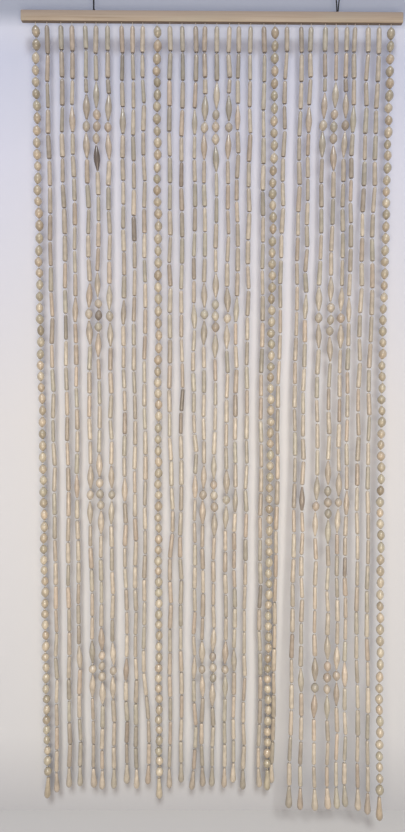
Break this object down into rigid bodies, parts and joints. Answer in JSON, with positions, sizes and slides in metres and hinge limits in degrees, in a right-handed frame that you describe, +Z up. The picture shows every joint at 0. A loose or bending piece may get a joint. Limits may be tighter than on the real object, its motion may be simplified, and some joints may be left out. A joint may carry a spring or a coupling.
{
  "type": "bead curtain on a wooden batten",
  "caption": "Doorway curtain of strings of pale wooden tube, spindle and oval beads with teardrop ends, hanging from a flat wooden batten with two black cord loops.",
  "frame": {"origin": "middle of the batten's top face, level with the line that the curtain hangs from", "axes": "+Z up, +X to the right seen from the front, +Y from the front to the back, so the front faces -Y"},
  "size_m": [0.9, 0.1127, 2.0186],
  "materials": {
    "batten_wood": "satin, fine straight grain",
    "bead_wood": "satin, pale and uneven in tone",
    "border_bead_wood": "satin, turned",
    "black_cord": "matt, twisted"
  },
  "bodies": {
    "root": {"batten": "batten_wood", "border_string_1": "border_bead_wood", "strings_left": "bead_wood", "border_string_2": "border_bead_wood", "strings_middle": "bead_wood", "border_string_3": "border_bead_wood", "lone_string": "bead_wood", "strings_right": "bead_wood", "border_string_4": "border_bead_wood", "hanging_loop_left": "black_cord", "loop_knot_left": "black_cord", "hanging_loop_right": "black_cord", "loop_knot_right": "black_cord"}
  },
  "joints": []
}
